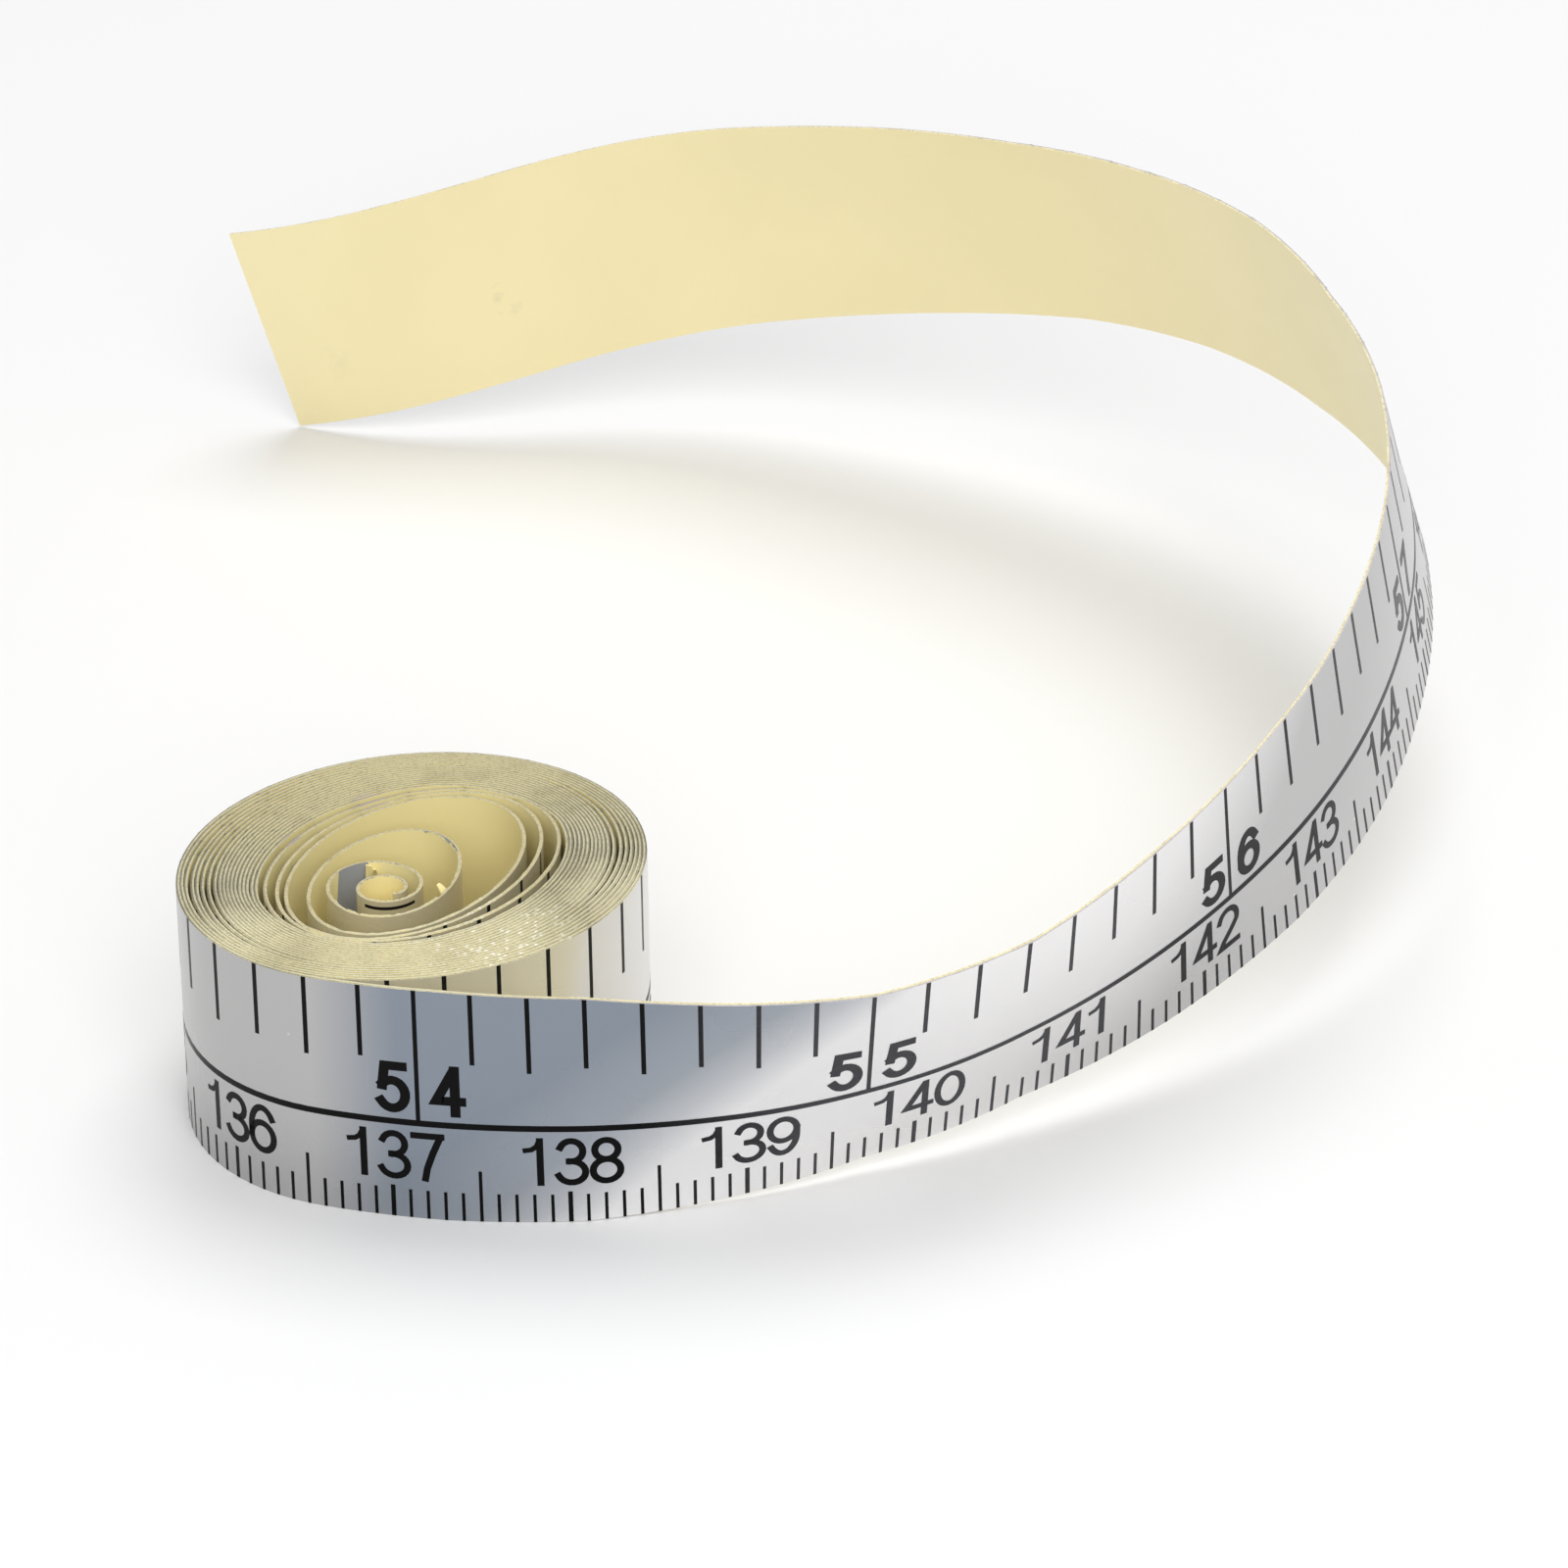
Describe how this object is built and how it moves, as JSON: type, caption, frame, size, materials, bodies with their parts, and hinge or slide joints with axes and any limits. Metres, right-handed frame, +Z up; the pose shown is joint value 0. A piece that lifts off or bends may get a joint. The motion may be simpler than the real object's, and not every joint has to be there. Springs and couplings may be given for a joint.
{
  "type": "self-adhesive tape measure",
  "caption": "Self-adhesive measuring tape of printed film on a release liner, wound on edge into a coil, with its outer end standing free in a rising bow.",
  "frame": {"origin": "middle of the whole shape's box, on the plane the coil stands on", "axes": "+Z up along the coil's axis, across the tape's width; +X to the right and +Y to the back as seen from the printed front of the free strip"},
  "size_m": [0.074, 0.0952, 0.0289],
  "materials": {
    "film": "silver metallised film, satin gloss, printed in black",
    "adhesive": "clear tacky coat",
    "liner": "pale yellow coated release paper"
  },
  "bodies": {
    "coil": {"film_coil": "film", "adhesive_coil": "adhesive", "liner_coil": "liner"},
    "strip_1": {"film_strip_1": "film", "adhesive_strip_1": "adhesive", "liner_strip_1": "liner"},
    "strip_2": {"film_strip_2": "film", "adhesive_strip_2": "adhesive", "liner_strip_2": "liner"},
    "strip_3": {"film_strip_3": "film", "adhesive_strip_3": "adhesive", "liner_strip_3": "liner"},
    "strip_4": {"film_strip_4": "film", "adhesive_strip_4": "adhesive", "liner_strip_4": "liner"},
    "strip_5": {"film_strip_5": "film", "adhesive_strip_5": "adhesive", "liner_strip_5": "liner"},
    "strip_6": {"film_strip_6": "film", "adhesive_strip_6": "adhesive"},
    "liner_tail": {"liner_strip_6": "liner"}
  },
  "joints": [
    {"name": "flex_1", "type": "hinge", "parent": "coil", "child": "strip_1", "pos_m": [-0.02817, -0.04414, 0.0075], "axis": [0, 0, 1], "range_deg": [-15, 8], "stiffness_Nm_per_rad": 0.0025},
    {"name": "flex_2", "type": "hinge", "parent": "strip_1", "child": "strip_2", "pos_m": [0.0023, -0.04413, 0.00798], "axis": [0.0432, -0.3618, 0.9313], "range_deg": [-15, 10], "stiffness_Nm_per_rad": 0.0025},
    {"name": "flex_3", "type": "hinge", "parent": "strip_2", "child": "strip_3", "pos_m": [0.02652, -0.02651, 0.01346], "axis": [-0.1078, -0.2108, 0.9716], "range_deg": [-15, 10], "stiffness_Nm_per_rad": 0.0025},
    {"name": "flex_4", "type": "hinge", "parent": "strip_3", "child": "strip_4", "pos_m": [0.03513, 0.00181, 0.02005], "axis": [-0.2284, -0.1702, 0.9586], "range_deg": [-15, 10], "stiffness_Nm_per_rad": 0.0025},
    {"name": "flex_5", "type": "hinge", "parent": "strip_4", "child": "strip_5", "pos_m": [0.02254, 0.02917, 0.02132], "axis": [-0.319, -0.2021, 0.926], "range_deg": [-15, 10], "stiffness_Nm_per_rad": 0.0025},
    {"name": "flex_6", "type": "hinge", "parent": "strip_5", "child": "strip_6", "pos_m": [-0.0033, 0.04477, 0.01602], "axis": [-0.2671, -0.0875, 0.9597], "range_deg": [-15, 10], "stiffness_Nm_per_rad": 0.0025},
    {"name": "liner_peel", "type": "hinge", "parent": "strip_6", "child": "liner_tail", "pos_m": [-0.00346, 0.0447, 0.01596], "axis": [-0.2671, -0.0875, 0.9597], "range_deg": [0, 120]}
  ]
}
